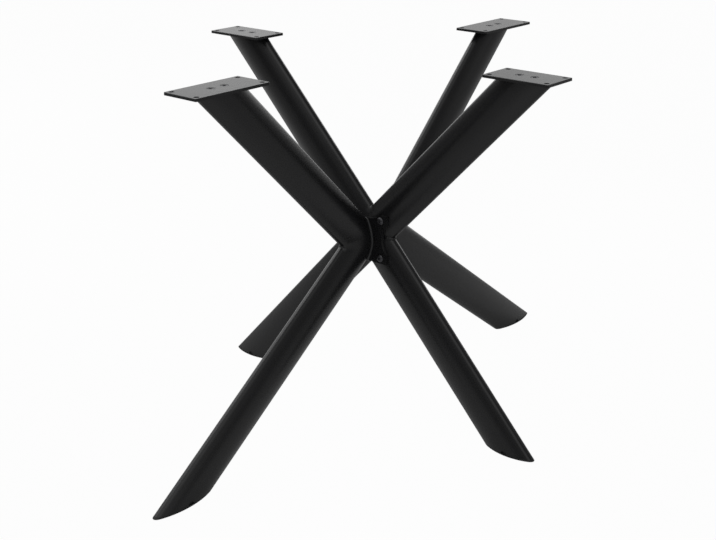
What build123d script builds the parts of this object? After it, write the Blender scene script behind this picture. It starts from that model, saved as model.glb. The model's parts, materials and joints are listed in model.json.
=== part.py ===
from build123d import *
from collections import namedtuple
import math
import os

# Spider table base of bent steel legs, in millimetres.
# Z points up, the floor is z = 0 and the origin lies on the floor under the middle of the hub.
# A welded cross frame of four oval tubes lies in the XZ plane.
# Two wing legs of two oval tubes each lie in the YZ plane and are bolted to its sides.

# Overall height, and the oval tube that every leg is made of, whose section has four arcs
HEIGHT = 720.0
TUBE_WIDE = 78.0
TUBE_NARROW = 38.0
TUBE_END_RADIUS = 10.0
TUBE_WALL = 2.0

# Cross frame: height of the middle, where its tubes meet, and reach of the tubes' far ends
HUB_HEIGHT = 365.0
CROSS_TOP_REACH = 334.0
CROSS_FOOT_REACH = 341.0

# Wing legs: reach of their ends, and where the axes of their two tubes meet
WING_TOP_REACH = 394.0
WING_FOOT_REACH = 522.0
WING_BEND_REACH = 34.0
WING_BEND_HEIGHT = 357.0

# Plates under the table top: wood screw holes in the corners, two machine screws in the middle
PLATE_THICKNESS = 5.0
PLATE_WIDTH = 76.0
CROSS_PLATE_LENGTH = 131.0
WING_PLATE_LENGTH = 163.0
PLATE_CORNER_RADIUS = 2.0
PLATE_EDGE_CHAMFER = 0.6
CORNER_HOLE_DIAMETER = 6.5
CORNER_HOLE_INSET = 9.0
PLATE_SCREW_SPACING = 30.0

# Threaded plug welded into each upper tube end, under its plate
PLUG_THICKNESS = 8.0
WELD_GAP = 0.3

# Countersunk M8 screws between plates and plugs
SCREW_DIAMETER = 8.0
SCREW_LENGTH = 16.0
SCREW_HEAD_DIAMETER = 15.5
SCREW_RECESS = 0.2
SOCKET_ACROSS_FLATS = 5.0
SOCKET_DEPTH = 2.6
SEAT_GAP = 0.15
CLEARANCE_HOLE = 9.0
THREAD_GAP = 0.15

# Hub: pads let into the sides of the cross frame, and a flange on each wing leg
HUB_PLATE_WIDTH = 109.0
HUB_PLATE_HEIGHT = 98.0
HUB_PLATE_CORNER_RADIUS = 3.0
HUB_WAIST_DEPTH = 13.0
HUB_WAIST_HEIGHT = 60.0
HUB_DIP_DEPTH = 11.5
HUB_DIP_WIDTH = 80.0
PAD_THICKNESS = 6.0
PAD_PROUD = 0.5
FLANGE_THICKNESS = 5.0

# M8 button head bolts and the threaded bushes that they run into, two columns of two
BOLT_COLUMN_SPACING = 77.0
BOLT_ROW_SPACING = 76.0
BOLT_HEAD_DIAMETER = 15.0
BOLT_HEAD_HEIGHT = 4.4
BOLT_HEAD_RIM = 1.1
BOLT_CROWN_DIAMETER = 8.4
BOLT_LENGTH = 22.0
BUSH_DIAMETER = 14.0

# Plastic glide in each foot: a rim under the tube and a plug inside it
GLIDE_RIM = 3.0
GLIDE_PLUG_HEIGHT = 12.0
GLIDE_GAP = 0.4
DRAIN_NOTCH_RADIUS = 6.0

# Worked out from the sizes above
UNDERSIDE = HEIGHT - PLATE_THICKNESS
PAD_FACE = TUBE_NARROW / 2 + PAD_PROUD
PAD_BACK = PAD_FACE - PAD_THICKNESS
FLANGE_FACE = PAD_FACE + FLANGE_THICKNESS
SCREW_CONE = (SCREW_HEAD_DIAMETER - SCREW_DIAMETER) / 2
OVERRUN = TUBE_WIDE * 2
SPAN = HEIGHT * 3

# A leg: its turn about Z, the reach of its plate, its foot and its bend, the height of its bend,
# where the hub cuts it off, and the length of its plate
Leg = namedtuple("Leg", "turn top_reach foot_reach bend_reach bend_height cut_reach plate_length")
CROSS = (CROSS_TOP_REACH, CROSS_FOOT_REACH, 0.0, HUB_HEIGHT, 0.0, CROSS_PLATE_LENGTH)
WING = (WING_TOP_REACH, WING_FOOT_REACH, WING_BEND_REACH, WING_BEND_HEIGHT, FLANGE_FACE, WING_PLATE_LENGTH)
LEGS = {
    "cross_right": Leg(0, *CROSS),
    "wing_back": Leg(90, *WING),
    "cross_left": Leg(180, *CROSS),
    "wing_front": Leg(-90, *WING),
}


def slab(low, high):
    """All of space between two heights."""
    return Pos(0, 0, (low + high) / 2) * Box(SPAN, SPAN, high - low)


def beyond(reach):
    """All of space further out than a reach along X."""
    return Pos(reach + SPAN / 2, 0, 0) * Box(SPAN, SPAN, SPAN * 2)


def rod(diameter):
    """Round rod through the origin along Z, longer than any piece is thick."""
    return Cylinder(diameter / 2, SPAN)


def rod_along_y(x, z, near, far, diameter):
    """Round rod along Y between two distances."""
    return Pos(x, (near + far) / 2, z) * Rot(90, 0, 0) * Cylinder(diameter / 2, far - near)


def socket():
    """Hexagon socket, open at z = 0 and reaching down."""
    hexagon = RegularPolygon(SOCKET_ACROSS_FLATS / 2, 6, major_radius=False)
    return Pos(0, 0, -SOCKET_DEPTH) * extrude(hexagon, SOCKET_DEPTH)


def leg_axes(leg):
    """Where a leg's two tube axes meet, and where they reach the plate and the floor."""
    bend = Vector(leg.bend_reach, 0, leg.bend_height)
    return bend, Vector(leg.top_reach, 0, UNDERSIDE), Vector(leg.foot_reach, 0, 0)


def oval_section(trim):
    """Section of the oval tube, trimmed inwards by trim: two narrow ends and two wide sides, all arcs."""
    wide = TUBE_WIDE / 2 - trim
    narrow = TUBE_NARROW / 2 - trim
    end = TUBE_END_RADIUS - trim
    side = (wide**2 + narrow**2 - 2 * wide * end) / (2 * (narrow - end))
    # The arcs meet on the line through the centre of an end and the centre of a side
    x = (wide - end) * side / (side - end)
    y = (side - narrow) * end / (side - end)
    top = ThreePointArc((-x, y), (0, narrow), (x, y))
    right = ThreePointArc((x, y), (wide, 0), (x, -y))
    bottom = ThreePointArc((x, -y), (0, -narrow), (-x, -y))
    left = ThreePointArc((-x, -y), (-wide, 0), (-x, y))
    return make_face([top, right, bottom, left])


def oval_bar(start, end, trim):
    """Oval bar from start past end in a leg's plane, its surface trimmed inwards by trim."""
    axis = (end - start).normalized()
    across = Vector(0, 1, 0).cross(axis)
    plane = Plane(origin=start - axis * OVERRUN, x_dir=across, z_dir=axis)
    return extrude(plane * oval_section(trim), (end - start).length + 2 * OVERRUN)


def above_mitre(leg):
    """All of space above the plane that halves the angle between a leg's two tubes."""
    bend, top, foot = leg_axes(leg)
    middle = (top - bend).normalized() + (foot - bend).normalized()
    tilt = math.degrees(math.atan2(middle.Z, middle.X))
    return Pos(*bend) * Rot(0, -tilt, 0) * Pos(0, 0, SPAN / 2) * Box(SPAN, SPAN, SPAN)


def leg_tubes(leg):
    """Upper and lower tube of a leg in the XZ plane, mitred on each other at the bend."""
    bend, top, foot = leg_axes(leg)
    keep = beyond(leg.cut_reach)
    upper = (oval_bar(bend, top, 0) - oval_bar(bend, top, TUBE_WALL)) & keep & slab(0, UNDERSIDE)
    lower = (oval_bar(bend, foot, 0) - oval_bar(bend, foot, TUBE_WALL)) & keep & slab(GLIDE_RIM, HEIGHT)
    rim = foot + (bend - foot) * (GLIDE_RIM / leg.bend_height)
    notch = rod_along_y(rim.X, rim.Z, -TUBE_NARROW, TUBE_NARROW, 2 * DRAIN_NOTCH_RADIUS)
    return upper & above_mitre(leg), lower - above_mitre(leg) - notch


def plate_screw_spots(leg):
    """Axes of a plate's two machine screws, with the plate's top at z = 0."""
    half = PLATE_SCREW_SPACING / 2
    return [Pos(leg.top_reach + x, 0, HEIGHT) for x in (-half, half)]


def screw_seat():
    """Room for a countersunk screw, from the plate's top at z = 0 down."""
    head_radius = SCREW_HEAD_DIAMETER / 2 + SEAT_GAP
    cone = Cone(SCREW_DIAMETER / 2 + SEAT_GAP, head_radius, SCREW_CONE)
    mouth = Cylinder(head_radius, 2 * SCREW_RECESS)
    return Pos(0, 0, -SCREW_RECESS - SCREW_CONE / 2) * cone + mouth + rod(CLEARANCE_HOLE)


def top_plate(leg):
    """Plate under the table top, with corner holes and countersunk holes in the middle."""
    outline = RectangleRounded(leg.plate_length, PLATE_WIDTH, PLATE_CORNER_RADIUS)
    plate = extrude(outline, PLATE_THICKNESS)
    plate = chamfer(plate.faces().sort_by(Axis.Z)[-1].edges(), PLATE_EDGE_CHAMFER)
    plate = Pos(leg.top_reach, 0, UNDERSIDE) * plate
    span_x = leg.plate_length - 2 * CORNER_HOLE_INSET
    span_y = PLATE_WIDTH - 2 * CORNER_HOLE_INSET
    for corner in GridLocations(span_x, span_y, 2, 2):
        plate -= Pos(leg.top_reach, 0, 0) * corner * rod(CORNER_HOLE_DIAMETER)
    for spot in plate_screw_spots(leg):
        plate -= spot * screw_seat()
    return plate


def tube_plug(leg):
    """Threaded plug that closes the upper end of a leg."""
    bend, top, _ = leg_axes(leg)
    plug = oval_bar(bend, top, TUBE_WALL + WELD_GAP) & slab(UNDERSIDE - PLUG_THICKNESS, UNDERSIDE)
    for spot in plate_screw_spots(leg):
        plug -= spot * rod(SCREW_DIAMETER + 2 * THREAD_GAP)
    return plug


def plate_screw():
    """Countersunk screw with its head's top at z = 0."""
    head = Pos(0, 0, -SCREW_CONE / 2) * Cone(SCREW_DIAMETER / 2, SCREW_HEAD_DIAMETER / 2, SCREW_CONE)
    shank = Pos(0, 0, -(SCREW_LENGTH + SCREW_CONE) / 2) * Cylinder(SCREW_DIAMETER / 2, SCREW_LENGTH - SCREW_CONE)
    return head + shank - socket()


def foot_glide(leg):
    """Glide that the foot stands on: its rim follows the tube, its plug sits inside it."""
    bend, _, foot = leg_axes(leg)
    rim = oval_bar(bend, foot, 0) & slab(0, GLIDE_RIM)
    inner = oval_bar(bend, foot, TUBE_WALL + GLIDE_GAP) & slab(0, GLIDE_RIM + GLIDE_PLUG_HEIGHT)
    return rim + inner


def arc_radius(chord, depth):
    """Radius of the arc that hollows an edge over a chord to a depth."""
    return ((chord / 2) ** 2 + depth**2) / (2 * depth)


def hub_outline():
    """Outline of pads and flanges in the XZ plane, with a hollow waist on both sides and a dip in its top."""
    waist = arc_radius(HUB_WAIST_HEIGHT, HUB_WAIST_DEPTH)
    dip = arc_radius(HUB_DIP_WIDTH, HUB_DIP_DEPTH)
    waist_x = HUB_PLATE_WIDTH / 2 - HUB_WAIST_DEPTH + waist
    dip_z = HUB_PLATE_HEIGHT / 2 - HUB_DIP_DEPTH + dip
    outline = RectangleRounded(HUB_PLATE_WIDTH, HUB_PLATE_HEIGHT, HUB_PLATE_CORNER_RADIUS)
    outline -= Pos(waist_x, 0) * Circle(waist) + Pos(-waist_x, 0) * Circle(waist)
    return outline - Pos(0, dip_z) * Circle(dip)


def hub_plate(near, far):
    """Plate of the hub outline between two distances from the cross frame's plane, on the +Y side."""
    plane = Plane(origin=(0, near, HUB_HEIGHT), x_dir=(-1, 0, 0), z_dir=(0, 1, 0))
    return extrude(plane * hub_outline(), far - near)


def bolt_places():
    """Middle of each hub bolt, as X and Z."""
    half_x = BOLT_COLUMN_SPACING / 2
    half_z = BOLT_ROW_SPACING / 2
    return [(x, HUB_HEIGHT + z) for x in (-half_x, half_x) for z in (-half_z, half_z)]


def hub_bolt():
    """Button head bolt with the underside of its head at z = 0, its shank reaching down."""
    half = BOLT_HEAD_DIAMETER / 2
    slope = BOLT_HEAD_HEIGHT - BOLT_HEAD_RIM
    rim = Pos(0, 0, BOLT_HEAD_RIM / 2) * Cylinder(half, BOLT_HEAD_RIM)
    crown = Pos(0, 0, BOLT_HEAD_RIM + slope / 2) * Cone(half, BOLT_CROWN_DIAMETER / 2, slope)
    shank = Pos(0, 0, -BOLT_LENGTH / 2) * Cylinder(SCREW_DIAMETER / 2, BOLT_LENGTH)
    return rim + crown + shank - Pos(0, 0, BOLT_HEAD_HEIGHT) * socket()


def save(shape, name):
    """Write one piece, or one group of like pieces, to its own file."""
    shape.label = name
    export_step(shape, os.path.join("parts", name + ".step"))


os.makedirs("parts", exist_ok=True)
HALF_TURN = Rot(0, 0, 180)

# Pads and bushes of the cross frame
bolt_rods = [rod_along_y(x, z, 0, SPAN, CLEARANCE_HOLE) for x, z in bolt_places()]
pad = hub_plate(PAD_BACK, PAD_FACE) - bolt_rods
save(pad, "cross_pad_back")
save(HALF_TURN * pad, "cross_pad_front")
bushes = []
for x, z in bolt_places():
    bush = rod_along_y(x, z, -PAD_BACK, PAD_BACK, BUSH_DIAMETER)
    bushes.append(bush - rod_along_y(x, z, -SPAN, SPAN, SCREW_DIAMETER + 2 * THREAD_GAP))
save(Compound(children=bushes), "threaded_bushes")

# Wing flanges and the bolts that hold them
flange = hub_plate(PAD_FACE, FLANGE_FACE) - bolt_rods
bolts = []
for name, turn in (("wing_back", Rot(0, 0, 0)), ("wing_front", HALF_TURN)):
    save(turn * flange, name + "_flange")
    for x, z in bolt_places():
        bolts.append(turn * Pos(x, FLANGE_FACE, z) * Rot(-90, 0, 0) * hub_bolt())
save(Compound(children=bolts), "hub_bolts")

# Four legs with their plates, plugs and glides; the pads are let into the tubes of the cross frame
pad_room = hub_plate(PAD_BACK, FLANGE_FACE)
screws = []
for name, leg in LEGS.items():
    turn = Rot(0, 0, leg.turn)
    upper, lower = leg_tubes(leg)
    if leg.cut_reach == 0:
        upper -= [pad_room, HALF_TURN * pad_room]
        lower -= [pad_room, HALF_TURN * pad_room]
    save(turn * upper, name + "_upper_tube")
    save(turn * lower, name + "_lower_tube")
    save(turn * top_plate(leg), name + "_top_plate")
    save(turn * tube_plug(leg), name + "_tube_plug")
    save(turn * foot_glide(leg), name + "_foot_glide")
    screws += [turn * spot * Pos(0, 0, -SCREW_RECESS) * plate_screw() for spot in plate_screw_spots(leg)]
save(Compound(children=screws), "plate_screws")
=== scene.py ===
# %% [markdown]
# # Spider table base
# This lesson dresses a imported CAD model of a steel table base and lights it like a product
# photograph. The base has four bent legs of oval tube that cross at a bolted hub, and a screw
# plate on top of each leg. The shapes come from the CAD model. Blender adds the coating, the
# welds, the fine forms of the screws, the light and the camera.
# Every length is in metres, +Z points up, and the floor is z = 0.

# %% Load the frame
import json
import math

import bmesh
import bpy
from mathutils import Matrix, Vector


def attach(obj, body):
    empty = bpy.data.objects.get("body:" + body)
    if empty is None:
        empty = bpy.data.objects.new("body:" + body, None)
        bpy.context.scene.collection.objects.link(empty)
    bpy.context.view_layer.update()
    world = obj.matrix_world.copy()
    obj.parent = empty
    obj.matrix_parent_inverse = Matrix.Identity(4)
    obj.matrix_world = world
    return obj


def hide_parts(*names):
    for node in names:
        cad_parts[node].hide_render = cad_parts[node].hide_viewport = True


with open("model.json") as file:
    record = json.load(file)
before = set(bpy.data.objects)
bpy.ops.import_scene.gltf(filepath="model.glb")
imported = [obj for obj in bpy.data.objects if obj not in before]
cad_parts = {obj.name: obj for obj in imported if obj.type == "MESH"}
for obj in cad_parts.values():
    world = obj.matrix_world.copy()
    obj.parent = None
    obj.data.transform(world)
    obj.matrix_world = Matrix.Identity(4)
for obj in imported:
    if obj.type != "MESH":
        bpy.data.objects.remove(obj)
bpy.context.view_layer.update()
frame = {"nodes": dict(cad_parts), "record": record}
nodes = frame["nodes"]

# %% [markdown]
# ## Sizes of the base
# Welds and screws are made along edges of the CAD model, so the sizes that place them are given
# here again. The cross frame lies along X. The two wing legs lie along Y and reach further.

# %% Sizes of the base
MM = 0.001
HUB_HEIGHT = 365 * MM
TUBE_TOP = 715 * MM
PLATE_TOP = 720 * MM
CROSS_TOP_REACH = 334 * MM
CROSS_FOOT_REACH = 341 * MM
WING_TOP_REACH = 394 * MM
WING_FOOT_REACH = 522 * MM
WING_BEND_REACH = 34 * MM
WING_BEND_HEIGHT = 357 * MM
FLANGE_FACE = 24.5 * MM
print("height", PLATE_TOP, "m, feet reach", CROSS_FOOT_REACH, "m and", WING_FOOT_REACH, "m")

# %% [markdown]
# ## Colours and nodes
# A maker gives a powder coat a shade, and a screen shows that shade as an sRGB hex value.
# Blender's shaders want linear light, so one function turns hex into linear colour.
# Every finish is a tree of nodes, so one small function adds a node with its settings and links.


# %% Colour and node helpers
def linear(hex_colour):
    """Linear RGBA of an sRGB hex colour, by the curve of the sRGB standard."""
    values = [int(hex_colour[i : i + 2], 16) / 255 for i in (1, 3, 5)]
    curve = [v / 12.92 if v <= 0.04045 else ((v + 0.055) / 1.055) ** 2.4 for v in values]
    return (*curve, 1.0)


def add(tree, kind, inputs=None, **settings):
    """Adds a node, with its settings, and its inputs as values or as sockets to link from."""
    node = tree.nodes.new(kind)
    for name, value in settings.items():
        setattr(node, name, value)
    for name, value in (inputs or {}).items():
        socket = node.inputs[name]
        if isinstance(value, bpy.types.NodeSocket):
            tree.links.new(value, socket)
        else:
            socket.default_value = value
    return node


def new_material(name):
    """An empty node material, its tree, its output node and its object coordinates."""
    material = bpy.data.materials.new(name)
    material.use_nodes = True
    tree = material.node_tree
    tree.nodes.clear()
    out = tree.nodes.new("ShaderNodeOutputMaterial")
    place = tree.nodes.new("ShaderNodeTexCoord").outputs["Object"]
    return material, tree, out, place


print("a screen's mid grey, #808080, is", round(linear("#808080")[0], 4), "in linear light")

# %% [markdown]
# ## Two shades and a bump
# Every finish on this base is made of two near shades and a grain that stands a little proud.
# A noise picks the shade from place to place, which keeps a wide face from looking flat.
# The grain goes to the shader as a bump, because it is far too fine for the mesh.


# %% Shaded skin
def shaded_skin(tree, out, blend, shades, grain, bump, **surface):
    """Shader between two hex shades with a bump of (strength, height). Surface has its values."""
    mix = {"Factor": blend, "A": linear(shades[0]), "B": linear(shades[1])}
    shade = add(tree, "ShaderNodeMix", mix, data_type="RGBA").outputs["Result"]
    relief = {"Height": grain, "Strength": bump[0], "Distance": bump[1]}
    normal = add(tree, "ShaderNodeBump", relief).outputs["Normal"]
    skin = {"Base Color": shade, "Normal": normal}
    shader = add(tree, "ShaderNodeBsdfPrincipled", {**skin, **surface})
    tree.links.new(shader.outputs["BSDF"], out.inputs["Surface"])


print("ready:", shaded_skin.__name__)

# %% [markdown]
# ## Powder coat
# The steel is sprayed with a dry polyester powder that melts into a skin about 0.08 mm thick.
# It flows unevenly and leaves fine orange peel, so highlights are soft and a little grainy.
# The peel is a noise of about 1.2 mm, coarser than the real 0.5 mm so that it still shows. It
# makes the bump, and it varies the roughness a little. The shade drifts over about 60 mm.
# Powder levels out better on a flat plate than on a tube, and the photograph shows the plates a
# touch glossier, so the tubes and the plates each get a coat of their own.

# %% Powder coat on the tubes
COAT_SHADES = ("#141415", "#18181a")
COAT_IOR = 1.5
CLOUD_SIZE = 60 * MM
CLOUD_DETAIL = 3.0
PEEL_SIZE = 1.2 * MM
PEEL_DETAIL = 2.0
PEEL_HEIGHT = 0.08 * MM
# Most of a noise's values lie between these two.
NOISE_LOW, NOISE_HIGH = 0.3, 0.7
ROUGHNESS_SPREAD = 0.04
RIM_ROUGHNESS = 0.95


def powder_coat(name, roughness, peel, rims=None):
    """Powder coat with orange peel, and with dry rims where the function in rims puts them."""
    material, tree, out, place = new_material(name)
    clouds = {"Vector": place, "Scale": 1 / CLOUD_SIZE, "Detail": CLOUD_DETAIL}
    cloud = add(tree, "ShaderNodeTexNoise", clouds).outputs["Fac"]
    grains = {"Vector": place, "Scale": 1 / PEEL_SIZE, "Detail": PEEL_DETAIL}
    grain = add(tree, "ShaderNodeTexNoise", grains).outputs["Fac"]
    spread = {
        "Value": grain,
        "From Min": NOISE_LOW,
        "From Max": NOISE_HIGH,
        "To Min": roughness - ROUGHNESS_SPREAD,
        "To Max": roughness + ROUGHNESS_SPREAD,
    }
    rough = add(tree, "ShaderNodeMapRange", spread).outputs["Result"]
    if rims:
        dry = {"Factor": rims(tree, place), "A": rough, "B": RIM_ROUGHNESS}
        rough = add(tree, "ShaderNodeMix", dry).outputs[0]
    bump = (peel, PEEL_HEIGHT)
    shaded_skin(tree, out, cloud, COAT_SHADES, grain, bump, Roughness=rough, IOR=COAT_IOR)
    return material


# Sprayed and baked polyester on a curved wall: a deep matt black with soft, broad highlights.
tube_coat = powder_coat("powder_coat_black", roughness=0.3, peel=0.3)
print("coat:", tube_coat.name)

# %% [markdown]
# ## Powder coat round a hole
# Charged powder avoids the inside of a hole and gathers in a dry, rough ring on its edge.
# The ring is only about 1.5 mm wide, but it doesn't mirror the studio, so each hole reads larger
# and darker. The plates lie in mirrored pairs, and so do the holes in a plate. Coordinates
# without their signs therefore fold all sixteen holes onto two.

# %% Hole rims and the plates' coat
RIM_INNER = 4.4 * MM
RIM_OUTER = 5.0 * MM
HOLE_SHORT_WAY = 29 * MM
HOLE_ALONG_CROSS = 56.5 * MM
HOLE_ALONG_WING = 72.5 * MM
LEVEL = (1, 1, 0)
# Each fold: from the hub to a plate's middle, and from there to a corner hole.
HOLE_FOLDS = (
    ((CROSS_TOP_REACH, 0, 0), (HOLE_ALONG_CROSS, HOLE_SHORT_WAY, 0)),
    ((0, WING_TOP_REACH, 0), (HOLE_SHORT_WAY, HOLE_ALONG_WING, 0)),
)


def hole_rims(tree, place):
    """Socket that is 1 at the plates' corner holes and falls to 0 outside their rims."""
    folded = add(tree, "ShaderNodeVectorMath", {0: place}, operation="ABSOLUTE").outputs[0]
    distances = []
    for fold in HOLE_FOLDS:
        spot = folded
        for middle in fold:
            steps = (("SUBTRACT", {1: middle}), ("MULTIPLY", {1: LEVEL}), ("ABSOLUTE", {}))
            for operation, other in steps:
                node = add(tree, "ShaderNodeVectorMath", {0: spot, **other}, operation=operation)
                spot = node.outputs[0]
        length = add(tree, "ShaderNodeVectorMath", {0: spot}, operation="LENGTH")
        distances.append(length.outputs["Value"])
    nearest = add(tree, "ShaderNodeMath", dict(enumerate(distances)), operation="MINIMUM")
    fade = {"Value": nearest.outputs[0], "From Min": RIM_OUTER, "From Max": RIM_INNER}
    return add(tree, "ShaderNodeMapRange", fade).outputs["Result"]


# The same powder on a flat sheet: a touch glossier, with a dull dark ring at every corner hole.
plate_coat = powder_coat("powder_coat_black_plate", roughness=0.27, peel=0.25, rims=hole_rims)
print("coat:", plate_coat.name)

# %% [markdown]
# ## Screws and glides
# The screws are turned from hardened steel and blackened in a hot oxide bath.
# The glides are moulded from polypropylene in a die with a spark-eroded grain.
# On both the real grain is about 0.1 mm wide. It is drawn six to eight times as coarse, so that
# it still shows, and one noise picks the shade and makes the bump.


# %% Screw and glide materials
def grained_finish(name, shades, size, detail, bump, **surface):
    """Finish whose one fine grain shows in its shade and in its bump."""
    material, tree, out, place = new_material(name)
    grains = {"Vector": place, "Scale": 1 / size, "Detail": detail}
    grain = add(tree, "ShaderNodeTexNoise", grains).outputs["Fac"]
    shaded_skin(tree, out, grain, shades, grain, bump, **surface)
    return material


# Black oxide on turned steel: the metal shows through, as a dark and uneven satin sheen.
screw_steel = grained_finish(
    "black_oxide_steel",
    ("#4a4a4c", "#5e5e61"),
    size=0.6 * MM,
    detail=3.0,
    bump=(0.15, 0.03 * MM),
    Metallic=1.0,
    Roughness=0.42,
)
# Moulded polypropylene: a dull black that scatters light evenly, with a faint grain.
glide_plastic = grained_finish(
    "polypropylene_black",
    ("#161617", "#1e1e1f"),
    size=0.8 * MM,
    detail=2.0,
    bump=(0.4, 0.05 * MM),
    Roughness=0.6,
    IOR=1.49,
)
print("materials:", [m.name for m in bpy.data.materials])

# %% [markdown]
# ## Dress the CAD nodes
# A CAD node keeps its mesh. Only the material in its slots changes.
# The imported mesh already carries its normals, so tubes look round and the plates' edges crisp.

# %% Give each node its finish
FINISH = {
    "tube": tube_coat,
    "plate": plate_coat,
    "plug": plate_coat,
    "fastener": screw_steel,
    "glide": glide_plastic,
}
SLOT_OF = {part["node"]: part["material_slot"] for part in frame["record"]["subparts"]}
for name, piece in nodes.items():
    piece.data.materials.clear()
    piece.data.materials.append(FINISH[SLOT_OF[name]])
print("dressed", len(nodes), "nodes")

# %% [markdown]
# ## The tubes' section
# The weld seams follow the tubes, so their paths are worked out from the tube's section and the
# legs' lines. The section is an oval of four arcs: two tight ones at its narrow ends and two
# shallow ones on its sides. Its points are taken evenly along each arc, with their normals.

# %% Tube section
HALF_WIDE = 39 * MM
HALF_NARROW = 19 * MM
END_RADIUS = 10 * MM
SIDE_RADIUS = (HALF_WIDE**2 + HALF_NARROW**2 - 2 * HALF_WIDE * END_RADIUS) / (
    2 * (HALF_NARROW - END_RADIUS)
)
ARC_POINTS = 24


def oval_points():
    """Points once round the tube's section: each (across, sideways) with its outward normal."""
    end_middle = HALF_WIDE - END_RADIUS
    side_middle = SIDE_RADIUS - HALF_NARROW
    meet = math.atan2(side_middle, end_middle)
    arcs = [
        ((end_middle, 0), END_RADIUS, -meet, meet),
        ((0, -side_middle), SIDE_RADIUS, meet, math.pi - meet),
        ((-end_middle, 0), END_RADIUS, math.pi - meet, math.pi + meet),
        ((0, side_middle), SIDE_RADIUS, math.pi + meet, 2 * math.pi - meet),
    ]
    points = []
    for (x, y), radius, start, stop in arcs:
        for i in range(ARC_POINTS):
            angle = start + (stop - start) * i / ARC_POINTS
            normal = (math.cos(angle), math.sin(angle))
            points.append(((x + radius * normal[0], y + radius * normal[1]), normal))
    return points


print("section:", len(oval_points()), "points")

# %% [markdown]
# ## The legs' lines
# Each leg is two straight tubes that meet at a bend, and both lie in one upright plane through
# the hub. A leg's line gives the reach and height of its bend, its top and its foot. The cross
# frame's legs run to the very middle, and the wing legs stop at their flanges.
# Every weld is worked out once, in the XZ plane, and then turned about the hub to its leg.

# %% Leg lines
CROSS_LINE = ((0, HUB_HEIGHT), (CROSS_TOP_REACH, TUBE_TOP), (CROSS_FOOT_REACH, 0))
WING_LINE = (
    (WING_BEND_REACH, WING_BEND_HEIGHT),
    (WING_TOP_REACH, TUBE_TOP),
    (WING_FOOT_REACH, 0),
)
# Each leg: its turn about the hub in degrees, and its line.
LEGS = {
    "cross_right": (0, CROSS_LINE),
    "wing_back": (90, WING_LINE),
    "cross_left": (180, CROSS_LINE),
    "wing_front": (270, WING_LINE),
}


def leg_axes(line):
    """Bend of a leg and the directions of its upper and lower tube, in its own XZ plane."""
    bend, top, foot = (Vector((reach, 0, height)) for reach, height in line)
    return bend, (top - bend).normalized(), (foot - bend).normalized()


def turn_to(leg):
    """Turn about the hub that takes a shape from the XZ plane to a leg."""
    return Matrix.Rotation(math.radians(LEGS[leg][0]), 4, "Z")


print("legs:", list(LEGS))

# %% [markdown]
# ## Seams
# A weld runs where two surfaces meet. Round the mitre of a leg it runs in the plane that halves
# the bend. Between the two halves of the cross frame it runs up the middle plane, into the crotch
# of the upper tubes. Where a wing leg stands on its flange it runs once round the tubes' ends.
# Each seam is found by running the tube's surface lines, point by point of its section, into
# that plane. The stretches that the hub's pads and flanges cover are left out.


# %% Seam functions
def cut_point(line, plane_normal, plane_point, spot, normal, lower):
    """Where the tube's surface line through a section point meets a plane, with its normal."""
    bend, upper, under = leg_axes(line)
    axis = under if lower else upper
    across = Vector((0, 1, 0)).cross(axis)
    start = bend + across * spot[0] + Vector((0, spot[1], 0))
    along = (plane_point - start).dot(plane_normal) / axis.dot(plane_normal)
    return start + axis * along, across * normal[0] + Vector((0, normal[1], 0))


def from_widest_gap(spots):
    """The same spots from the widest gap on, so that an open seam isn't closed across it."""
    gaps = [(spots[i][0] - spots[i - 1][0]).length for i in range(len(spots))]
    first = gaps.index(max(gaps))
    return spots[first:] + spots[:first]


def seam_spots(line, plane_normal, keep, lower=False):
    """Spots of a seam in a plane through the bend: each a point and the tube's normal there."""
    bend = leg_axes(line)[0]
    spots = [
        cut_point(line, plane_normal, bend, spot, normal, lower)
        for spot, normal in oval_points()
    ]
    return from_widest_gap([spot for spot in spots if keep(spot[0])])


print("ready:", seam_spots.__name__)

# %% [markdown]
# ## The four seams
# Two seams run round a mitre, on the cross frame and on a wing leg. Two run up the cross frame's
# middle plane, above and below the hub's pads. The opposite legs get the same seams, turned.

# %% Seams of the cross frame and of a wing leg
PAD_WAIST = 41.5 * MM
PAD_TOP = 402.5 * MM
PAD_FOOT = 316 * MM
X_AXIS = Vector((1, 0, 0))
_, cross_upper, cross_under = leg_axes(CROSS_LINE)
_, wing_upper, wing_under = leg_axes(WING_LINE)
cross_plane = (cross_upper - cross_under).normalized()
wing_plane = (wing_upper - wing_under).normalized()
cross_mitre = seam_spots(CROSS_LINE, cross_plane, lambda p: p.x > PAD_WAIST)
wing_mitre = seam_spots(WING_LINE, wing_plane, lambda p: p.x > FLANGE_FACE)
crotch_top = seam_spots(CROSS_LINE, X_AXIS, lambda p: p.z > PAD_TOP)
crotch_foot = seam_spots(CROSS_LINE, X_AXIS, lambda p: p.z < PAD_FOOT, lower=True)
print("seam spots:", len(cross_mitre), len(wing_mitre), len(crotch_top), len(crotch_foot))

# %% [markdown]
# ## From faces to a closed mesh
# Ground welds and screws are both built face by face, as closed shells. A shell needs its faces
# turned outwards and smooth shading, and it keeps a crisp edge wherever two faces meet steeply.


# %% Closed mesh
def closed_mesh(name, work, sharp):
    """Mesh of a closed shell, smooth except at edges steeper than sharp, in degrees."""
    bmesh.ops.recalc_face_normals(work, faces=work.faces)
    mesh = bpy.data.meshes.new(name)
    work.to_mesh(mesh)
    work.free()
    mesh.polygons.foreach_set("use_smooth", [True] * len(mesh.polygons))
    mesh.set_sharp_from_angle(angle=math.radians(sharp))
    print(name, "has", len(mesh.polygons), "faces")
    return mesh


print("ready:", closed_mesh.__name__)

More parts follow.
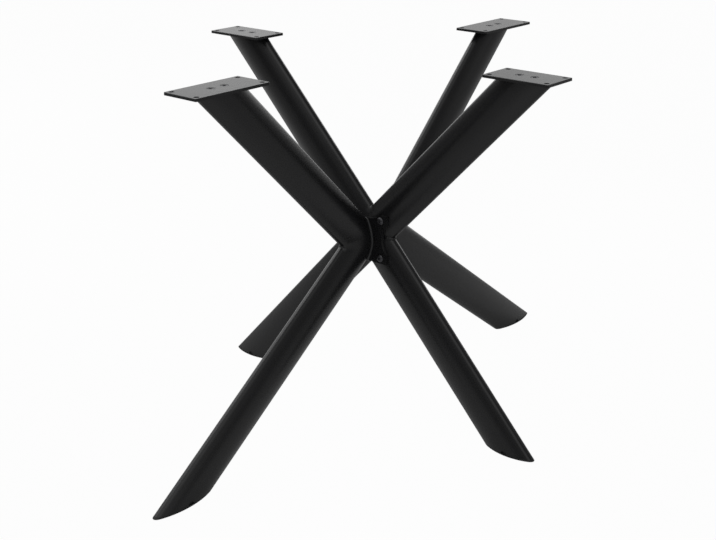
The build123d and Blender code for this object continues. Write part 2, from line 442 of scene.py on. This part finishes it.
# %% [markdown]
# ## Ground welds
# On the wing legs and in the crotch of the cross frame the weld was ground, so the tubes flow
# into each other. A ground weld is a shallow hollow between two surfaces, tangent to both.
# A curve with three handles gives that: it starts on one tube, is pulled towards the seam, and
# ends on the other tube. It is drawn at every seam spot. It is broad on the tubes' wide sides and
# narrow in the hollow corner, where the photograph shows a tight bend.

# %% Ground weld pieces
MITRE_WIDTH = 26 * MM
CROTCH_TOP_WIDTH = 20 * MM
CROTCH_FOOT_WIDTH = 10 * MM
CORNER_WIDTH = 3 * MM
GROUND_STEPS = 10
GROUND_PROUD = 0.12 * MM
GROUND_SINK = 0.1 * MM
GROUND_DEPTH = 1.5 * MM
GROUND_SHARP = 50


def ground_weld(name, leg, spots, first, second, plane_normal, width):
    """A closed thin shell, ground hollow from a tube along first to a tube along second."""
    spin = turn_to(leg)
    together = (first + second).normalized()
    steepest = math.sqrt(1 - first.dot(together) ** 2)
    work = bmesh.new()
    rows = []
    for point, outward in spots:
        mirrored = outward - 2 * outward.dot(plane_normal) * plane_normal
        share = min(1.0, abs(outward.dot(together)) / steepest)
        reach = width + (CORNER_WIDTH - width) * share
        outer, inner = [], []
        for step in range(GROUND_STEPS + 1):
            t = step / GROUND_STEPS
            spot = point + first * reach * (1 - t) ** 2 + second * reach * t**2
            up = outward.lerp(mirrored, t).normalized()
            lift = GROUND_PROUD - (GROUND_PROUD + GROUND_SINK) * (2 * t - 1) ** 2
            outer.append(work.verts.new(spin @ (spot + up * lift)))
            inner.append(work.verts.new(spin @ (spot - up * GROUND_DEPTH)))
        rows.append(outer + inner[::-1])
    for near, far in zip(rows, rows[1:]):
        for i in range(len(near)):
            j = (i + 1) % len(near)
            work.faces.new((near[i], near[j], far[j], far[i]))
    work.faces.new(rows[0])
    work.faces.new(rows[-1])
    mesh = closed_mesh(name, work, GROUND_SHARP)
    mesh.materials.append(tube_coat)
    piece = bpy.data.objects.new(name, mesh)
    bpy.context.collection.objects.link(piece)
    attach(piece, "root")


wing_tubes = (wing_upper, wing_under)
for leg in ("wing_back", "wing_front"):
    ground_weld("weld_mitre_" + leg, leg, wing_mitre, *wing_tubes, wing_plane, MITRE_WIDTH)
for name, spots, tube, width in (
    ("weld_crotch_top", crotch_top, cross_upper, CROTCH_TOP_WIDTH),
    ("weld_crotch_foot", crotch_foot, cross_under, CROTCH_FOOT_WIDTH),
):
    opposite = tube * Vector((-1, 1, 1))
    ground_weld(name, "cross_right", spots, tube, opposite, X_AXIS, width)

# %% [markdown]
# ## Weld beads with Geometry Nodes
# A weld bead is a string of small overlapping puddles, so its thickness ripples along its length.
# Geometry Nodes turn a path into a curve, divide it evenly, and sweep a circle along it.
# A sine of the curve's length gives the puddles, and a little noise keeps them from looking
# machine made. The same tree makes every bead, because only the path and its sizes differ.

# %% Bead tree
BEAD_SIDES = 20
BEAD_DRIFT = 9 * MM
NOISE_MIDDLE = 0.5
BEAD_INPUTS = {
    "Step": 0.6 * MM,
    "Puddle Pitch": 2.4 * MM,
    "Puddle Depth": 0.06,
    "Unevenness": 0.12,
    "Seed": 7.0,
}


def bead_tree():
    """Geometry Nodes group that sweeps a rippled bead along a path of edges."""
    group = bpy.data.node_groups.new("weld_bead", "GeometryNodeTree")
    face = group.interface
    face.new_socket("Path", in_out="INPUT", socket_type="NodeSocketGeometry")
    for label, value in BEAD_INPUTS.items():
        socket = face.new_socket(label, in_out="INPUT", socket_type="NodeSocketFloat")
        socket.default_value = value
    face.new_socket("Coat", in_out="INPUT", socket_type="NodeSocketMaterial")
    face.new_socket("Bead", in_out="OUTPUT", socket_type="NodeSocketGeometry")
    given = group.nodes.new("NodeGroupInput").outputs
    rail = add(group, "GeometryNodeMeshToCurve", {"Mesh": given["Path"]}).outputs["Curve"]
    spacing = {"Curve": rail, "Length": given["Step"]}
    even = add(group, "GeometryNodeResampleCurve", spacing, mode="LENGTH").outputs[0]
    # The radius is the point's own value, times one plus the puddles' sine and a little noise.
    wave = add(group, "GeometryNodeSplineParameter").outputs["Length"]
    for operation, other in (
        ("DIVIDE", {1: given["Puddle Pitch"]}),
        ("MULTIPLY", {1: math.tau}),
        ("SINE", {}),
        ("MULTIPLY_ADD", {1: given["Puddle Depth"], 2: 1.0}),
    ):
        wave = add(group, "ShaderNodeMath", {0: wave, **other}, operation=operation).outputs[0]
    wander = {"W": given["Seed"], "Scale": 1 / BEAD_DRIFT}
    size = add(group, "ShaderNodeTexNoise", wander, noise_dimensions="4D").outputs[0]
    own = add(group, "GeometryNodeInputNamedAttribute", {"Name": "bead"}, data_type="FLOAT")
    for operation, other in (
        ("SUBTRACT", {1: NOISE_MIDDLE}),
        ("MULTIPLY_ADD", {1: given["Unevenness"], 2: wave}),
        ("MULTIPLY", {1: own.outputs[0]}),
    ):
        size = add(group, "ShaderNodeMath", {0: size, **other}, operation=operation).outputs[0]
    circle = {"Resolution": BEAD_SIDES, "Radius": 1.0}
    ring = add(group, "GeometryNodeCurvePrimitiveCircle", circle, mode="RADIUS").outputs["Curve"]
    sweep = {"Curve": even, "Profile Curve": ring, "Scale": size, "Fill Caps": True}
    body = add(group, "GeometryNodeCurveToMesh", sweep).outputs[0]
    smooth = add(group, "GeometryNodeSetShadeSmooth", {"Geometry": body}).outputs[0]
    real = add(group, "GeometryNodeRealizeInstances", {"Geometry": smooth}).outputs[0]
    coated = add(group, "GeometryNodeSetMaterial", {"Geometry": real, "Material": given["Coat"]})
    result = group.nodes.new("NodeGroupOutput")
    group.links.new(coated.outputs[0], result.inputs["Bead"])
    return group


weld_group = bead_tree()
print("bead tree:", len(weld_group.nodes), "nodes")

# %% [markdown]
# ## From a tree to a plain piece
# A Geometry Nodes modifier needs an object to work on. Here it gets bare points, with or without
# edges, and each point carries one value: a bead's radius, or the way a screw's head looks.
# The result is read once as a plain mesh, and the carrier and its modifier are thrown away.


# %% Carrier and result
def point_object(name, points, edges, values, label, kind="FLOAT"):
    """An object of bare points and edges that carries one named value per point."""
    mesh = bpy.data.meshes.new(name)
    mesh.from_pydata(points, edges, [])
    layer = mesh.attributes.new(label, kind, "POINT")
    for item, value in zip(layer.data, values):
        if kind == "FLOAT":
            item.value = value
        else:
            item.vector = value
    carrier = bpy.data.objects.new(name, mesh)
    bpy.context.collection.objects.link(carrier)
    return carrier


def grown(name, carrier, group, inputs):
    """The plain mesh object that a group makes of a carrier object, which is removed."""
    modifier = carrier.modifiers.new("grow", "NODES")
    modifier.node_group = group
    items = [item for item in group.interface.items_tree if item.in_out == "INPUT"]
    identifiers = {item.name: item.identifier for item in items}
    for label, value in inputs.items():
        modifier[identifiers[label]] = value
    depsgraph = bpy.context.evaluated_depsgraph_get()
    grown_carrier = carrier.evaluated_get(depsgraph)
    mesh = bpy.data.meshes.new_from_object(grown_carrier, depsgraph=depsgraph)
    mesh.name = name
    bpy.data.objects.remove(carrier)
    piece = bpy.data.objects.new(name, mesh)
    bpy.context.collection.objects.link(piece)
    print(name, "has", len(mesh.polygons), "faces")
    return piece


print("ready:", point_object.__name__, "and", grown.__name__)

# %% [markdown]
# ## Welds left as beads
# Two kinds of seam keep their bead: the mitre at each side of the cross frame, and the loop on
# each flange. On the tubes' wide sides a mitre's bead is sunk until it stands only a little
# proud. In the hollow corner it isn't sunk, and it is half as thick. Each bead becomes a plain
# mesh that rides on the body, in the coat of the tubes that it joins.

# %% Weld beads
SEAM_BEAD = 6.0 * MM
SEAM_PROUD = 0.5 * MM
CORNER_SHRINK = 0.5
FLANGE_BEAD = 4.2 * MM
FLANGE_THINNEST = 0.25
FLANGE_FADE = 8 * MM


def mitre_path(spots, partner):
    """Bead path on seam spots: sunk into a flat side, and thinner in the hollow corner."""
    path = []
    for point, outward in spots:
        hollow = max(0.0, outward.dot(partner))
        bead = SEAM_BEAD * (1 - CORNER_SHRINK * hollow)
        path.append((point - outward * (bead - SEAM_PROUD) * (1 - hollow), bead))
    return path


def flange_path(line):
    """Bead path once round a wing leg's ends, thin at its top and foot, where the flange ends."""
    bend, upper, under = leg_axes(line)
    middle = (upper + under).normalized()
    split = bend.z + (FLANGE_FACE - bend.x) * middle.z / middle.x
    path = []
    for lower in (False, True):
        part = []
        for spot, normal in oval_points():
            point, _ = cut_point(line, X_AXIS, X_AXIS * FLANGE_FACE, spot, normal, lower)
            if (point.z < split) == lower:
                share = min(1.0, FLANGE_THINNEST + abs(point.y) / FLANGE_FADE)
                part.append((point, FLANGE_BEAD * share))
        path += from_widest_gap(part)
    return path


def weld_bead(name, leg, path, closed):
    """One weld bead as a finished piece, turned about the hub to its own leg."""
    spin = turn_to(leg)
    points = [spin @ point for point, _ in path]
    edges = [(i, i + 1) for i in range(len(points) - 1)]
    if closed:
        edges.append((len(points) - 1, 0))
    carrier = point_object(name + "_path", points, edges, [bead for _, bead in path], "bead")
    piece = grown(name, carrier, weld_group, {"Coat": tube_coat})
    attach(piece, "root")


for leg in ("cross_right", "cross_left"):
    weld_bead("weld_mitre_" + leg, leg, mitre_path(cross_mitre, cross_under), closed=False)
for leg in ("wing_back", "wing_front"):
    weld_bead("weld_flange_" + leg, leg, flange_path(WING_LINE), closed=True)

# %% [markdown]
# ## Screws turned on a lathe
# Two kinds of M8 screw hold the base together: button heads in the hub, countersunk heads in the
# plates. Both have a hexagon socket with a chamfered mouth. Such a screw is a profile turned
# about its axis, so it is built ring by ring, from the socket to the shank's end.
# The socket's rings follow a hexagon, and every other ring is a circle.

# %% Rings to a mesh
RING_POINTS = 48
SHANK_RADIUS = 4.0 * MM
TIP_CHAMFER = 0.5 * MM
SOCKET_HALF = 2.5 * MM
SOCKET_DEPTH = 2.6 * MM
DRILL_POINT = 0.6 * MM
SCREW_SHARP = 32


def hexagon_radius(angle):
    """Distance from the middle of the socket to its wall at an angle."""
    return SOCKET_HALF / math.cos((angle + math.pi / 6) % (math.pi / 3) - math.pi / 6)


def turned(name, rings):
    """Closed mesh of a screw from rings of (radius, height). A radius of None is the hexagon."""
    work = bmesh.new()
    loops = []
    for radius, height in rings:
        loop = []
        for i in range(RING_POINTS):
            angle = math.tau * i / RING_POINTS
            reach = hexagon_radius(angle) if radius is None else radius
            loop.append(work.verts.new((reach * math.cos(angle), reach * math.sin(angle), height)))
        loops.append(loop)
    for inner, outer in zip(loops, loops[1:]):
        for i in range(RING_POINTS):
            j = (i + 1) % RING_POINTS
            work.faces.new((inner[i], outer[i], outer[j], inner[j]))
    for loop, drop in ((loops[0], -DRILL_POINT), (loops[-1], 0)):
        middle = work.verts.new((0, 0, loop[0].co.z + drop))
        for i in range(RING_POINTS):
            work.faces.new((middle, loop[i], loop[(i + 1) % RING_POINTS]))
    return closed_mesh(name, work, SCREW_SHARP)


print("points in a screw's ring:", RING_POINTS)

# %% [markdown]
# ## The hub's button head
# A button head is a low dome over a thin rim. Its dome is part of a ball, so the height at any
# distance from the axis follows from the ball's radius. Its underside, at height 0, is the seat.

# %% Button head
HEAD_RADIUS = 7.5 * MM
HEAD_HEIGHT = 4.4 * MM
HEAD_RIM = 1.1 * MM
HEAD_CHAMFER = 0.2 * MM
DOME_RADIUS = 10.2 * MM
DOME_STEPS = 8
DOME_MIDDLE = HEAD_RIM - math.sqrt(DOME_RADIUS**2 - HEAD_RADIUS**2)
BOLT_LENGTH = 22 * MM
BUTTON_MOUTH = 3.3 * MM
BUTTON_MOUTH_DEPTH = 0.35 * MM


def dome_height(radius):
    """Height of the button head's dome at a distance from its axis."""
    return DOME_MIDDLE + math.sqrt(DOME_RADIUS**2 - radius**2)


button_rings = [
    (None, HEAD_HEIGHT - SOCKET_DEPTH),
    (None, dome_height(BUTTON_MOUTH) - BUTTON_MOUTH_DEPTH),
]
for step in range(DOME_STEPS + 1):
    radius = BUTTON_MOUTH + (HEAD_RADIUS - BUTTON_MOUTH) * step / DOME_STEPS
    button_rings.append((radius, dome_height(radius)))
button_rings += [
    (HEAD_RADIUS, HEAD_CHAMFER),
    (HEAD_RADIUS - HEAD_CHAMFER, 0),
    (SHANK_RADIUS, 0),
    (SHANK_RADIUS, TIP_CHAMFER - BOLT_LENGTH),
    (SHANK_RADIUS - TIP_CHAMFER, -BOLT_LENGTH),
]
button_mesh = turned("button_head_screw", button_rings)

# %% [markdown]
# ## The plates' countersunk head
# A countersunk head is flat on top and a cone below, so that it sinks into the plate.
# Its top is height 0. The sharp edge of the cone is broken by a small chamfer, as on the real one.

# %% Countersunk head
CONE_RADIUS = 7.75 * MM
CONE_DEPTH = 3.75 * MM
CONE_EDGE_WIDTH = 0.5 * MM
CONE_EDGE_DEPTH = 0.35 * MM
SCREW_LENGTH = 16 * MM
FLAT_MOUTH = 3.9 * MM
FLAT_MOUTH_DEPTH = 0.7 * MM
flat_rings = [
    (None, -SOCKET_DEPTH),
    (None, -FLAT_MOUTH_DEPTH),
    (FLAT_MOUTH, 0),
    (CONE_RADIUS - CONE_EDGE_WIDTH, 0),
    (CONE_RADIUS, -CONE_EDGE_DEPTH),
    (SHANK_RADIUS, -CONE_DEPTH),
    (SHANK_RADIUS, TIP_CHAMFER - SCREW_LENGTH),
    (SHANK_RADIUS - TIP_CHAMFER, -SCREW_LENGTH),
]
flat_mesh = turned("countersunk_screw", flat_rings)

# %% [markdown]
# ## Screws set on their seats
# Geometry Nodes copy one screw to every seat. The value on each point says which way the head
# looks. A seed turns each screw about its own axis, because a fitter leaves the sockets at any
# angle.

# %% Screw tree
HUB_SEED = 3
PLATE_SEED = 5


def seat_tree():
    """Geometry Nodes group that sets one object on every point, looking along its value."""
    group = bpy.data.node_groups.new("screws_on_seats", "GeometryNodeTree")
    for label, kind, way in (
        ("Seats", "Geometry", "INPUT"),
        ("Screw", "Object", "INPUT"),
        ("Spin Seed", "Int", "INPUT"),
        ("Finish", "Material", "INPUT"),
        ("Screws", "Geometry", "OUTPUT"),
    ):
        group.interface.new_socket(label, in_out=way, socket_type="NodeSocket" + kind)
    given = group.nodes.new("NodeGroupInput").outputs
    part = add(group, "GeometryNodeObjectInfo", {"Object": given["Screw"]}).outputs["Geometry"]
    look = add(group, "GeometryNodeInputNamedAttribute", {"Name": "look"}, data_type="FLOAT_VECTOR")
    stand = add(group, "FunctionNodeAlignRotationToVector", {"Vector": look.outputs[0]}, axis="Z")
    draw = add(group, "FunctionNodeRandomValue", {"Seed": given["Spin Seed"]}, data_type="FLOAT")
    share = {0: draw.outputs["Value"], 1: math.tau}
    angle = add(group, "ShaderNodeMath", share, operation="MULTIPLY").outputs[0]
    spin = add(group, "FunctionNodeAxisAngleToRotation", {"Axis": (0, 0, 1), "Angle": angle})
    both = {"Rotation": stand.outputs[0], "Rotate By": spin.outputs[0]}
    turn = add(group, "FunctionNodeRotateRotation", both, rotation_space="LOCAL").outputs[0]
    copies = {"Points": given["Seats"], "Instance": part, "Rotation": turn}
    row = add(group, "GeometryNodeInstanceOnPoints", copies).outputs[0]
    real = add(group, "GeometryNodeRealizeInstances", {"Geometry": row}).outputs[0]
    steel = add(group, "GeometryNodeSetMaterial", {"Geometry": real, "Material": given["Finish"]})
    result = group.nodes.new("NodeGroupOutput")
    group.links.new(steel.outputs[0], result.inputs["Screws"])
    return group


screw_group = seat_tree()
print("screw tree:", len(screw_group.nodes), "nodes")

# %% [markdown]
# ## Hub bolts and plate screws
# Each side of the hub has four bolts in two rows, and their heads stand on the flanges.
# Each plate has two screws in line with its leg, and their heads lie just below its top.
# Each set becomes one piece, which stands in for the CAD node of the same screws.


# %% Hub bolts and plate screws
def screws_on(name, mesh, seats, looks, seed, node):
    """One piece of screws on seats, in place of a CAD node."""
    sample = bpy.data.objects.new(name + "_sample", mesh)
    bpy.context.collection.objects.link(sample)
    carrier = point_object(name + "_seats", seats, [], looks, "look", "FLOAT_VECTOR")
    inputs = {"Screw": sample, "Spin Seed": seed, "Finish": screw_steel}
    piece = grown(name, carrier, screw_group, inputs)
    bpy.data.objects.remove(sample)
    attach(piece, "root")
    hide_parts(node)


HALF_COLUMN = 38.5 * MM
HALF_ROW = 38 * MM
seats, looks = [], []
for side in (-1, 1):
    for x in (-HALF_COLUMN, HALF_COLUMN):
        for z in (HUB_HEIGHT - HALF_ROW, HUB_HEIGHT + HALF_ROW):
            seats.append((x, side * FLANGE_FACE, z))
            looks.append((0, side, 0))
screws_on("button_head_bolts", button_mesh, seats, looks, HUB_SEED, "hub_bolts")

HEAD_RECESS = 0.2 * MM
HALF_SPACING = 15 * MM
seats, looks = [], []
for leg, (_, line) in LEGS.items():
    top_reach = line[1][0]
    for along in (-HALF_SPACING, HALF_SPACING):
        seat = Vector((top_reach + along, 0, PLATE_TOP - HEAD_RECESS))
        seats.append(turn_to(leg) @ seat)
        looks.append((0, 0, 1))
screws_on("countersunk_plate_screws", flat_mesh, seats, looks, PLATE_SEED, "plate_screws")

# %% [markdown]
# ## Where the light comes from
# A product photograph is lit by a few large soft panels. Their places are told as the
# photographer tells them: so many degrees to the left of where the camera looks, and so many
# above the floor. A helper turns such a pair into a direction in the object's frame.

# %% Directions from the camera's view
CAMERA_FORWARD = (-0.60321, 0.70916, -0.36501)
VIEW_AZIMUTH = math.atan2(CAMERA_FORWARD[1], CAMERA_FORWARD[0])


def towards(left, above):
    """Direction that lies left of the camera's view and above the floor, both in degrees."""
    turn, rise = VIEW_AZIMUTH + math.radians(left), math.radians(above)
    level = math.cos(rise)
    return Vector((math.cos(turn) * level, math.sin(turn) * level, math.sin(rise)))


print("straight ahead is", [round(v, 3) for v in towards(0, 0)])

# %% [markdown]
# ## Floor
# A product photograph stands on a sweep of matt paper, which reads as plain white with a faint
# shadow. Light Path's camera ray makes the floor and the background white without throwing more
# light on the object. To every other ray, glossy ones too, the paper is pale grey. The object's
# black coat would mirror a glowing floor and turn grey, which the photograph doesn't show.
# A little light lies on the paper under the object and beside it, as it does where panels stand
# near. It reaches the undersides of the tubes, which would be lost in black without it.

# %% Floor
FLOOR_SIZE = 30.0
half = FLOOR_SIZE / 2
corners = [(-half, -half, 0), (half, -half, 0), (half, half, 0), (-half, half, 0)]
floor_mesh = bpy.data.meshes.new("floor")
floor_mesh.from_pydata(corners, [], [(0, 1, 2, 3)])
floor = bpy.data.objects.new("floor", floor_mesh)
bpy.context.collection.objects.link(floor)
print("floor:", FLOOR_SIZE, "m square")

# %% [markdown]
# ## Paper of the floor
# The paper is a plain diffuse grey. Each pool of light on it is a bell curve of the distance from
# the pool's middle, so it fades without an edge.

# %% Paper
WHITE = (1.0, 1.0, 1.0, 1.0)
PAPER_GREY = "#b4b4b4"
FLOOR_GLOW_SHARE = 0.97
# Each pool of light: degrees left of the view, metres from the hub, spread in metres, strength.
PAPER_LIGHT = (
    (0, 0.0, 0.5, 0.115),
    (-45, 1.2, 0.5, 0.13),
    (45, 1.2, 0.5, 0.12),
    (180, 1.2, 0.5, 0.22),
    (45, 2.8, 0.9, 0.3),
)
# Matt paper: a plain pale ground without a gloss, so that nothing draws the eye from the object.
sweep_paper, tree, out, place = new_material("paper_sweep")
pooled = 0.0
for left, distance, spread, strength in PAPER_LIGHT:
    middle = towards(left, 0) * distance
    away = add(tree, "ShaderNodeVectorMath", {0: place, 1: middle}, operation="DISTANCE")
    bell = away.outputs["Value"]
    for operation, other in (
        ("POWER", {1: 2.0}),
        ("MULTIPLY", {1: -0.5 / spread**2}),
        ("EXPONENT", {}),
        ("MULTIPLY_ADD", {1: strength, 2: pooled}),
    ):
        bell = add(tree, "ShaderNodeMath", {0: bell, **other}, operation=operation).outputs[0]
    pooled = bell
paper = add(tree, "ShaderNodeBsdfDiffuse", {"Color": linear(PAPER_GREY)})
pools = add(tree, "ShaderNodeEmission", {"Color": WHITE, "Strength": pooled})
lit_paper = add(tree, "ShaderNodeAddShader", {0: paper.outputs[0], 1: pools.outputs[0]})
glow = add(tree, "ShaderNodeEmission", {"Color": WHITE, "Strength": 1.0})
camera_ray = add(tree, "ShaderNodeLightPath").outputs["Is Camera Ray"]
glowing = {0: camera_ray, 1: FLOOR_GLOW_SHARE}
share = add(tree, "ShaderNodeMath", glowing, operation="MULTIPLY").outputs[0]
sweep = add(tree, "ShaderNodeMixShader", {0: share, 1: lit_paper.outputs[0], 2: glow.outputs[0]})
tree.links.new(sweep.outputs[0], out.inputs["Surface"])
floor_mesh.materials.append(sweep_paper)
print("pools of light:", len(PAPER_LIGHT))

# %% [markdown]
# ## Studio
# The world is the studio, and each soft panel in it is a lobe: brightest in one direction and
# fading all round. Two strong panels stand low behind the object, to the right and the left of
# the camera's view, with a narrower one between them. The plates lie nearly edge-on to the
# camera, so their black coat mirrors these panels and reads mid grey. The tubes' tight ends catch
# them too, as thin bright lines, which draw each leg's outline. Two weaker low panels stand on
# the right and behind the camera.
# Broad light comes from the upper left and over the camera, with one narrow panel in it. It
# shades the wide sides from grey to nearly black. Hardly anything hangs on the upper right, so
# the sides that look there stay dark. The strengths were matched to the photograph by comparing
# how light each side of each tube is.

# %% Panels of light
# Each panel: degrees left of the view, degrees above the floor, sharpness, strength.
PANELS = (
    (-30, 12, 20.0, 2.4),
    (30, 12, 20.0, 1.7),
    (3, 6, 60.0, 1.0),
    (-90, 12, 20.0, 0.47),
    (-150, 12, 20.0, 0.87),
    (45, 45, 12.0, 1.2),
    (62, 52, 80.0, 2.3),
    (90, 45, 12.0, 0.83),
    (135, 45, 12.0, 0.63),
    (180, 45, 12.0, 0.97),
    (-90, 45, 12.0, 0.24),
    (0, 45, 12.0, 0.2),
)
# The floor shows the camera 0.97 of white and a little lit paper, so the backdrop stops there too.
BACKDROP_SEEN = 0.98
world = bpy.data.worlds.new("studio")
bpy.context.scene.world = world
world.use_nodes = True
sky = world.node_tree
sky.nodes.clear()
sky_out = sky.nodes.new("ShaderNodeOutputWorld")
direction = sky.nodes.new("ShaderNodeTexCoord").outputs["Generated"]
total = 0.0
for left, above, sharpness, strength in PANELS:
    between = {0: direction, 1: towards(left, above)}
    facing = add(sky, "ShaderNodeVectorMath", between, operation="DOT_PRODUCT")
    lobe = facing.outputs["Value"]
    for operation, other in (
        ("MULTIPLY_ADD", {1: sharpness, 2: -sharpness}),
        ("EXPONENT", {}),
        ("MULTIPLY_ADD", {1: strength, 2: total}),
    ):
        lobe = add(sky, "ShaderNodeMath", {0: lobe, **other}, operation=operation).outputs[0]
    total = lobe
seen = add(sky, "ShaderNodeBackground", {"Color": WHITE, "Strength": BACKDROP_SEEN})
room = add(sky, "ShaderNodeBackground", {"Color": WHITE, "Strength": total})
sky_ray = add(sky, "ShaderNodeLightPath").outputs["Is Camera Ray"]
backdrop = add(sky, "ShaderNodeMixShader", {0: sky_ray, 1: room.outputs[0], 2: seen.outputs[0]})
sky.links.new(backdrop.outputs[0], sky_out.inputs["Surface"])
print("panels of light:", len(PANELS))

# %% [markdown]
# ## Camera
# The camera was matched to the photograph: its place, its direction and its lens. The direction
# is a unit vector, and Blender's camera looks along its own -Z, so that axis is turned onto it.

# %% Camera
CAMERA_PLACE = (1.3618, -1.6461, 1.1230)
LENS_MM = 57.94
SENSOR_MM = 36.0
camera_data = bpy.data.cameras.new("camera")
camera_data.lens = LENS_MM
camera_data.sensor_width = SENSOR_MM
camera = bpy.data.objects.new("camera", camera_data)
camera.location = CAMERA_PLACE
camera.rotation_euler = Vector(CAMERA_FORWARD).to_track_quat("-Z", "Y").to_euler()
bpy.context.collection.objects.link(camera)
bpy.context.scene.camera = camera
bpy.context.scene.view_settings.view_transform = "Standard"
print("camera at", CAMERA_PLACE)
